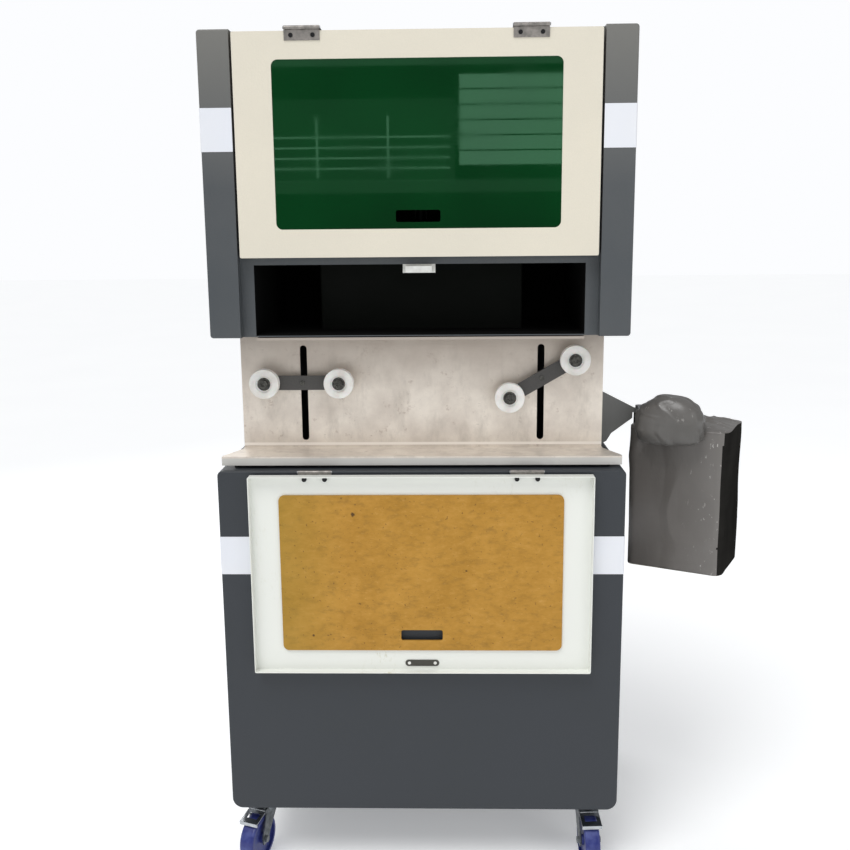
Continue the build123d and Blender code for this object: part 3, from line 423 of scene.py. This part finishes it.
# The bracket is painted lighter than its real grey: painted light.
bracket_lit_coat = powder_coat("bracket_lit_powder_coat", "#8a8a88", "#7d7d7a", 1.8, 0.06, 0.6)
black_coat = powder_coat("matt_black_coat", "#060706", "#0b0c0b", 1.8, 0.06, 0.75)
# The liner is black paint and painted shade: near black, for the opening's dark depth.
liner_black_and_shade = powder_coat(
    "liner_black_and_shade_coat", "#010101", "#020201", 1.8, 0.04, 0.9, Specular_IOR_Level=0.15
)
dark_plastic = powder_coat(
    "moulded_black_plastic", "#020502", "#040804", 1.5, 0.05, 0.8, Specular_IOR_Level=0.2
)
print("coated", [m.name for m in (arm_coat, bracket_lit_coat, black_coat, liner_black_and_shade, dark_plastic)])

# %% [markdown]
# ## Rollers and wheels
# Turned nylon is milky white with faint rings from the lathe. Light goes a little way into it, which
# the shader's subsurface setting gives. The caster treads are cast blue polyurethane, smoother and glossier.

# %% Nylon and polyurethane
nylon, nylon_tree, nylon_shader = new_finish(
    "turned_nylon", IOR=1.53, Roughness=0.34, Subsurface_Weight=0.12, Subsurface_Scale=0.004
)
handled = add(nylon_tree, "MapRange", {0: grain(nylon_tree, 22, detail=4), 1: 0.4, 2: 0.7})
turned = grain(nylon_tree, 1.2, detail=2)
dress(nylon_tree, nylon_shader, "#efeeea", [(handled, "#dcd9d2")], relief=turned, relief_mm=0.03)

blue_tread, tread_tree, tread_shader = new_finish("blue_polyurethane", IOR=1.5)
dust = add(tread_tree, "MapRange", {0: grain(tread_tree, 18, detail=5), 1: 0.42, 2: 0.7})
tread_rough = add(tread_tree, "MapRange", {0: dust, 3: 0.28, 4: 0.55})
tread_skin = grain(tread_tree, 2.0, detail=2)
dress(tread_tree, tread_shader, "#262f74", [(dust, "#454f8c")], tread_rough, tread_skin, 0.05)
print("plastics", nylon.name, blue_tread.name)

# %% [markdown]
# ## Green window
# The upper window is laser-safe acrylic: a deep green sheet, polished on both faces. Little light comes back
# out of the chamber behind, so what the eye sees is dark green body colour under a sharp reflection of the
# room. Part transmission and part body colour gives that without the sheet turning black. Much of the
# reflection comes off the back face, through the green, so the specular tint is a pale green.

# %% Green acrylic
green_acrylic, acrylic_tree, acrylic_shader = new_finish(
    "green_acrylic",
    IOR=1.49,
    Transmission_Weight=0.30,
    Specular_IOR_Level=0.2,
    Specular_Tint=linear("#b0ffd0"),
)
depth_of_green = add(acrylic_tree, "MapRange", {0: grain(acrylic_tree, 420, detail=2), 1: 0.35, 2: 0.65})
wipe_marks = grain(acrylic_tree, 60, detail=5, stretch=(0.5, 1, 1))
acrylic_rough = add(acrylic_tree, "MapRange", {0: wipe_marks, 1: 0.4, 2: 0.7, 3: 0.015, 4: 0.05})
dress(acrylic_tree, acrylic_shader, "#00270b", [(depth_of_green, "#01441a")], acrylic_rough)
print("window", green_acrylic.name)

# %% [markdown]
# ## Backing paper
# The bay door's acrylic still wears its brown backing paper. Kraft paper is amber, with fibres a few
# millimetres long and dark specks, and it has faded to olive along its left edge. Three stains are placed one
# by one: each is a soft ball, the distance to a point turned into a mask.

# %% Stains
window_low, window_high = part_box("bay_door_window")
PAPER_STAINS = [(0.26, 0.88, 4.0), (0.11, 0.10, 2.6), (0.66, 0.52, 1.8)]
WOBBLE = 0.006


def stain_mask(tree, across, up, radius_mm):
    """1 at a share of the paper's width and height, fading to 0 at a radius with an uneven edge."""
    point = window_low + Vector((across, 0, up)) * (window_high - window_low)
    place = add(tree, "TexCoord", output="Object")
    wobble = grain(tree, 5, detail=4)
    reach = add(tree, "VectorMath", {0: place, 1: point}, output="Value", operation="DISTANCE")
    edge = add(tree, "Math", {0: wobble, 1: WOBBLE, 2: reach}, operation="MULTIPLY_ADD")
    full, gone = radius_mm * MM * 0.7 + WOBBLE / 2, radius_mm * MM + WOBBLE * 2 / 3
    return add(tree, "MapRange", {0: edge, 1: full, 2: gone, 3: 1, 4: 0})


print("paper from", tuple(round(v, 3) for v in window_low), "stains", len(PAPER_STAINS))

# %% Kraft paper
FADED_WIDTH = 0.13


def kraft_paper(name):
    """Amber paper: clouds, mottle both ways, fibres, an olive edge, then specks and stains."""
    material, tree, shader = new_finish(name, IOR=1.45)
    clouds = grain(tree, 95, detail=6, rough=0.65)
    mottle = grain(tree, 11, detail=5, rough=0.7, stretch=(0.5, 1, 1))
    fibres = grain(tree, 4.5, detail=3, rough=0.7, stretch=(0.35, 1, 1))
    specks = grain(tree, 6, detail=3, rough=0.6)
    across = add(tree, "SeparateXYZ", {0: add(tree, "TexCoord", output="Object")}, output="X")
    left = window_low.x
    layers = [
        (add(tree, "MapRange", {0: clouds, 1: 0.3, 2: 0.7}), "#a97a24"),
        (add(tree, "MapRange", {0: mottle, 1: 0.50, 2: 0.75, 4: 0.75}), "#8f6820"),
        (add(tree, "MapRange", {0: mottle, 1: 0.46, 2: 0.28, 4: 0.5}), "#c79748"),
        (add(tree, "MapRange", {0: fibres, 1: 0.60, 2: 0.80, 4: 0.6}), "#cfa257"),
        (add(tree, "MapRange", {0: across, 1: left, 2: left + FADED_WIDTH, 3: 0.45, 4: 0}), "#9c8129"),
        (add(tree, "MapRange", {0: specks, 1: 0.655, 2: 0.70, 4: 0.6}), "#56390f"),
    ]
    layers += [(stain_mask(tree, *stain), "#56390f") for stain in PAPER_STAINS]
    rough = add(tree, "MapRange", {0: clouds, 1: 0.3, 2: 0.7, 3: 0.5, 4: 0.72})
    dress(tree, shader, "#bd8b31", layers, rough, fibres, 0.06)
    return material


kraft = kraft_paper("kraft_backing_paper")
print("paper", kraft.name)

# %% [markdown]
# ## Finishes on the frame
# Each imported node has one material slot. A table from finishes to node names is quicker to read than a branch
# for each piece, and the loop at the end says if a node was forgotten. Two glasses are left: the laser tube's
# is clear, and the control screen's is nearly black with a smooth face.

# %% Who wears what
glass_tube, tube_tree, tube_shader = new_finish(
    "laser_tube_glass", IOR=1.5, Transmission_Weight=0.8, Roughness=0.05
)
dress(tube_tree, tube_shader, "#eaf4f4", [(grain(tube_tree, 80), "#d5e6e8")])
screen_glass = plated("screen_glass", "#0b0b0d", "#101014", 0.08, 60, metallic=0.0, depth=0.0)

finishes = {
    graphite_coat: "lower_cabinet lower_rear_cover rear_column",
    pillar_coat: "upper_cabinet upper_rear_cover",
    black_coat: "chamber_floor shelf_riser swing_arm",
    liner_black_and_shade: "throat_liner",
    bracket_lit_coat: "swing_bracket",
    dark_plastic: "throat_guide power_supply",
    catch_plate: "door_catches",
    zinc: "rear_cover_screws hinge_pins swing_pin duct_collar caster_tops",
    hinge_steel: "fixed_hinge_leaves upper_door_fittings bay_door_fittings",
    door_screw: "upper_door_screws bay_door_screws",
    black_oxide: "left_slot_stud right_slot_stud left_roller_bolts right_roller_bolts",
    stainless: "roller_plate",
    trim_film: "white_bands",
    anodised: "tube_mounts",
    black_anodised: "honeycomb_bed side_rails cross_beam laser_head",
    glass_tube: "laser_tube",
    cream_coat: "upper_door_panel control_case control_cover",
    white_coat: "bay_door_panel",
    green_acrylic: "upper_door_window",
    kraft: "bay_door_window",
    screen_glass: "control_screen",
    arm_coat: "left_arm right_arm",
    nylon: "left_outer_roller left_inner_roller right_inner_roller right_outer_roller",
    chrome: "front_left_brake front_right_brake",
    fork_steel: " ".join(n for n in nodes if n.endswith("_fork")),
    blue_tread: " ".join(n for n in nodes if n.endswith("_wheel")),
}
dressed = set()
for finish, names in finishes.items():
    for name in names.split():
        nodes[name].material_slots[0].material = finish
        dressed.add(name)
print("dressed", len(dressed), "still bare", sorted(set(nodes) - dressed))

# %% [markdown]
# ## Packing film
# The control box still wears its grey packing film: a thin sheet pulled round the box, creased where it
# was drawn tight, and gathered on the roof. It could be a cloth simulation, but a film this tight hardly
# hangs, so it is built as rings that follow the box's rounded outline: up the sides, over the roof's edge and
# in towards the middle. Noise pushes each point out a little, so that no stretch of it is flat.

# %% Box axes
case_low, case_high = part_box("control_case")
film_low, film_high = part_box("dust_film")
BOX_TURN = math.radians(-27)
BOX_WIDTH, BOX_DEPTH = 0.196, 0.160
BOX_LOW, BOX_HIGH = case_low.z, case_high.z
BOX_CENTRE = Vector(((film_low.x + film_high.x) / 2, (film_low.y + film_high.y) / 2, 0))
ACROSS = Vector((math.cos(BOX_TURN), math.sin(BOX_TURN), 0))
INWARD = Vector((-math.sin(BOX_TURN), math.cos(BOX_TURN), 0))
UP = Vector((0, 0, 1))


def on_box(across, inward, z):
    """A point from the middle of the box's outline, along its own width and depth."""
    return BOX_CENTRE + ACROSS * across + INWARD * inward + UP * z


print("box from", round(BOX_LOW, 3), "to", round(BOX_HIGH, 3), "m, turned", round(math.degrees(BOX_TURN)))

# %% [markdown]
# Polythene is clear, so several layers of it look grey. The box's front is painted lighter towards its right
# edge, a painted sheen with small painted glints, and its right side is painted dark, a painted shade. The
# lump of film on top is painted lighter towards its top, a painted sheen.

# %% Film finish
def packing_film(name, first, second, crease_mm, painted_sheen=None, **sockets):
    """Creased film. Given a direction and two distances, it is painted lighter along that direction: a painted
    sheen with painted glints.
    """
    material, tree, shader = new_finish(name, IOR=1.5, **sockets)
    wraps = grain(tree, 120, detail=3, stretch=(1, 1, 0.6))
    lines = grain(tree, 14, detail=3, stretch=(0.12, 0.12, 1))
    layers = [
        (add(tree, "MapRange", {0: wraps, 1: 0.35, 2: 0.65}), second),
        (add(tree, "MapRange", {0: lines, 1: 0.45, 2: 0.75, 4: 0.35}), second),
    ]
    if painted_sheen:
        direction, starts, full = painted_sheen
        spot = {0: add(tree, "TexCoord", output="Object"), 1: direction}
        along = add(tree, "VectorMath", spot, output="Value", operation="DOT_PRODUCT")
        painted_sheen_mask = add(tree, "MapRange", {0: along, 1: starts, 2: full})
        glint_noise = grain(tree, 9, detail=4, rough=0.65, stretch=(1, 1, 0.5))
        bright = add(tree, "MapRange", {0: glint_noise, 1: 0.63, 2: 0.70, 4: 0.8})
        # painted sheen: the film turns lighter towards the far distance
        layers.append((add(tree, "MapRange", {0: painted_sheen_mask, 4: 0.45}), "#75726f"))
        # painted glints: small bright spots within the painted sheen
        layers.append((add(tree, "Math", {0: bright, 1: painted_sheen_mask}, operation="MULTIPLY"), "#c9c6c2"))
    creases = grain(tree, crease_mm, detail=4, rough=0.55, stretch=(1, 1, 0.45))
    centred = add(tree, "Math", {0: creases, 1: 0.5}, operation="SUBTRACT")
    off_centre = add(tree, "Math", {0: centred}, operation="ABSOLUTE")
    ridges = add(tree, "MapRange", {0: off_centre, 2: 0.12, 3: 1, 4: 0})
    rough = add(tree, "MapRange", {0: wraps, 1: 0.3, 2: 0.7, 3: 0.30, 4: 0.44})
    dress(tree, shader, first, layers, rough, ridges, 0.35, strength=0.6)
    return material


RIGHT_EDGE = BOX_CENTRE.dot(ACROSS) + BOX_WIDTH / 2
LUMP_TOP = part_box("film_bundle")[1][2]
# The front's painted sheen grows towards its right edge.
film_finish = packing_film(
    "grey_packing_film",
    "#6c6864",
    "#5d5955",
    38,
    painted_sheen=(ACROSS, RIGHT_EDGE - 0.085, RIGHT_EDGE - 0.02),
    Coat_Weight=0.2,
    Coat_Roughness=0.2,
)
# The right side's darker film is painted shade.
side_painted_shade = packing_film("side_shade_packing_film", "#2b2a28", "#1f1e1d", 38, Specular_IOR_Level=0.0)
# The lump's painted sheen grows towards its top.
bundle_finish = packing_film(
    "bundle_film",
    "#64625f",
    "#4f4d4a",
    22,
    painted_sheen=(UP, LUMP_TOP - 0.06, LUMP_TOP - 0.01),
    Coat_Weight=0.12,
    Coat_Roughness=0.3,
)
print("films", film_finish.name, side_painted_shade.name, bundle_finish.name)

# %% [markdown]
# A ring is a closed row of points. The outline walks along a straight side, round a corner, and so on, and
# puts its points at even steps, so the film's faces are all about the same size.

# %% Outline and skin
def rounded_outline(half_x, half_y, radius, count):
    """Points round a rectangle with rounded corners, with the outward direction at each."""
    points = []
    straight_x, straight_y = 2 * (half_x - radius), 2 * (half_y - radius)
    corner = math.pi / 2 * radius
    whole = 2 * (straight_x + straight_y) + 4 * corner
    legs = [(straight_x, False), (corner, True), (straight_y, False), (corner, True)] * 2
    for n in range(count):
        left = n / count * whole
        heading, x, y = 0.0, -half_x + radius, -half_y
        for length, turning in legs:
            used = min(left, length)
            if turning:
                angle = used / radius
                centre_x, centre_y = x - radius * math.sin(heading), y + radius * math.cos(heading)
                heading += angle
                x, y = centre_x + radius * math.sin(heading), centre_y - radius * math.cos(heading)
            else:
                x, y = x + used * math.cos(heading), y + used * math.sin(heading)
            left -= used
            if left <= 1e-12:
                break
        points.append((x, y, math.sin(heading), -math.cos(heading)))
    return points


def skin_mesh(name, rings):
    """A smooth mesh through rings of equal length, each closed on itself, with the last ring filled."""
    count = len(rings[0])
    vertices = [p for ring in rings for p in ring]
    faces = [
        (r * count + n, r * count + (n + 1) % count, (r + 1) * count + (n + 1) % count, (r + 1) * count + n)
        for r in range(len(rings) - 1)
        for n in range(count)
    ]
    faces.append(tuple(range((len(rings) - 1) * count, len(rings) * count)))
    mesh = bpy.data.meshes.new(name)
    mesh.from_pydata(vertices, [], faces)
    mesh.polygons.foreach_set("use_smooth", [True] * len(mesh.polygons))
    made = bpy.data.objects.new(name, mesh)
    bpy.context.scene.collection.objects.link(made)
    return made


def ruffle(place, size, seed):
    """Smooth noise with sharp ridges, from 0 to 1, in the pattern of pulled film."""
    here = place / size + Vector((seed, seed * 1.7, 0))
    return 1 - min(1, abs(noise.noise(here)) * 3.2)


print("one ring has a girth of", round(2 * (BOX_WIDTH + BOX_DEPTH), 3), "m before its corners are rounded")

# %% [markdown]
# The side rings start just under the box, where the film tucks in, and stand off the case by a little more
# than a millimetre, plus ridges, which grow upwards, and slack. The roof rings shrink to the middle and rise
# like a tent. Each face on the right side takes the darker finish, painted shade, by the way it faces.

# %% Film
CORNER = 0.016
SIDE_FACING = 0.55
FLAT_FACING = 0.7
AROUND, SIDE_ROWS, ROOF_ROWS = 260, 70, 26
STAND_OFF, TUCK = 0.0012, 0.012
LIFT = 0.0015
ROOF_RISE = 0.013
BOX_HEIGHT = BOX_HIGH - BOX_LOW
outline = rounded_outline(BOX_WIDTH / 2, BOX_DEPTH / 2, CORNER, AROUND)


def side_ring(z):
    """One ring of film round the sides."""
    ring = []
    height = (z - BOX_LOW) / BOX_HEIGHT
    tuck = TUCK if z < BOX_LOW else 0.0
    for x, y, out_x, out_y in outline:
        spot = on_box(x, y, z)
        pull = 0.0022 * ruffle(Vector((spot.x, spot.y, spot.z * 0.5)), 0.075, 3) * (0.35 + height)
        slack_at = Vector((spot.x, spot.y, spot.z * 0.6)) / 0.11 + Vector((9, 2, 4))
        slack = 0.004 * max(0, noise.noise(slack_at))
        out = STAND_OFF + pull + slack - tuck
        ring.append(on_box(x + out_x * out, y + out_y * out, z))
    return ring


def roof_ring(share):
    """One ring on the roof, from the edge (0) to the middle (1)."""
    ring = []
    inset = 1 - 0.985 * share
    lean = STAND_OFF + 0.002 * (1 - share)
    tent = ROOF_RISE * (1 - (1 - share) ** 2.4) * 0.8
    for x, y, out_x, out_y in outline:
        ridge = 0.004 * ruffle(on_box(x * inset, y * inset, BOX_HIGH), 0.035, 11) * min(1, share * 3)
        z = BOX_HIGH + LIFT + tent + ridge
        ring.append(on_box(x * inset + out_x * lean, y * inset + out_y * lean, z))
    return ring


side_levels = [BOX_LOW - 0.001]
side_levels += [BOX_LOW + LIFT + BOX_HEIGHT * n / SIDE_ROWS for n in range(SIDE_ROWS + 1)]
film_rings = [side_ring(z) for z in side_levels]
film_rings += [roof_ring(n / ROOF_ROWS) for n in range(1, ROOF_ROWS + 1)]
film = skin_mesh("packing_film", film_rings)
film.data.materials.append(film_finish)
film.data.materials.append(side_painted_shade)
# Faces on the right side take the painted shade finish.
for face in film.data.polygons:
    on_side = face.normal.dot(ACROSS) > SIDE_FACING and (face.center - BOX_CENTRE).dot(ACROSS) > 0
    face.material_index = 1 if on_side and abs(face.normal.z) < FLAT_FACING else 0
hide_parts("dust_film")
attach(film, "control_box")

# %% [markdown]
# ## Wrapped keypad
# The keypad is bound in several turns of the same film and hangs over the box's top front edge. The lump is a
# rounded box: a sphere of points pushed towards a box by a power below one. Folds run round it where
# the film was wound, so its ridges are stretched along its width, and its underside sags flat.

# %% Lump
bundle_low, bundle_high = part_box("film_bundle")
LUMP = Vector((0.142, 0.080, 0.110)) / 2
LUMP_CENTRE = (bundle_low + bundle_high) / 2 - ACROSS * 0.005
LUMP_STEPS, LUMP_COUNT = 110, 180
POLE_GAP = 0.01


def squared(value, power):
    """A value from -1 to 1, pushed away from 0 by a power below one."""
    return math.copysign(abs(value) ** power, value)


def lump_point(turn, rise):
    """A point on the rounded lump, with its folds."""
    across = squared(math.cos(turn), 0.72) * squared(math.cos(rise), 0.62)
    inward = squared(math.sin(turn), 0.72) * squared(math.cos(rise), 0.62)
    up = squared(math.sin(rise), 0.70)
    if up > 0:
        across *= 1 - 0.36 * up**2.2
        inward *= 1 - 0.20 * up**2
    else:
        up = -abs(up) ** 0.55 * 0.86
    local = Vector((across * LUMP.x, inward * LUMP.y, up * LUMP.z))
    fold = ruffle(Vector((local.x * 0.45, local.y, local.z * 1.2 + local.x * 0.25)), 0.030, 5)
    dent = noise.noise(local / 0.045 + Vector((3, 1, 7)))
    local *= 0.955 + 0.045 * fold + 0.030 * dent
    return LUMP_CENTRE + ACROSS * local.x + INWARD * local.y + UP * local.z


def lump_ring(step):
    """One ring round the lump, from its underside up."""
    pole = math.pi / 2 - POLE_GAP
    rise = max(-pole, min(pole, math.pi * (step / LUMP_STEPS - 0.5)))
    return [lump_point(2 * math.pi * n / LUMP_COUNT, rise) for n in range(LUMP_COUNT)]


bundle = skin_mesh("wrapped_keypad", [lump_ring(step) for step in range(LUMP_STEPS + 1)])
bundle.data.materials.append(bundle_finish)
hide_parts("film_bundle")
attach(bundle, "control_box")
print("bundle", len(bundle.data.polygons), "faces")
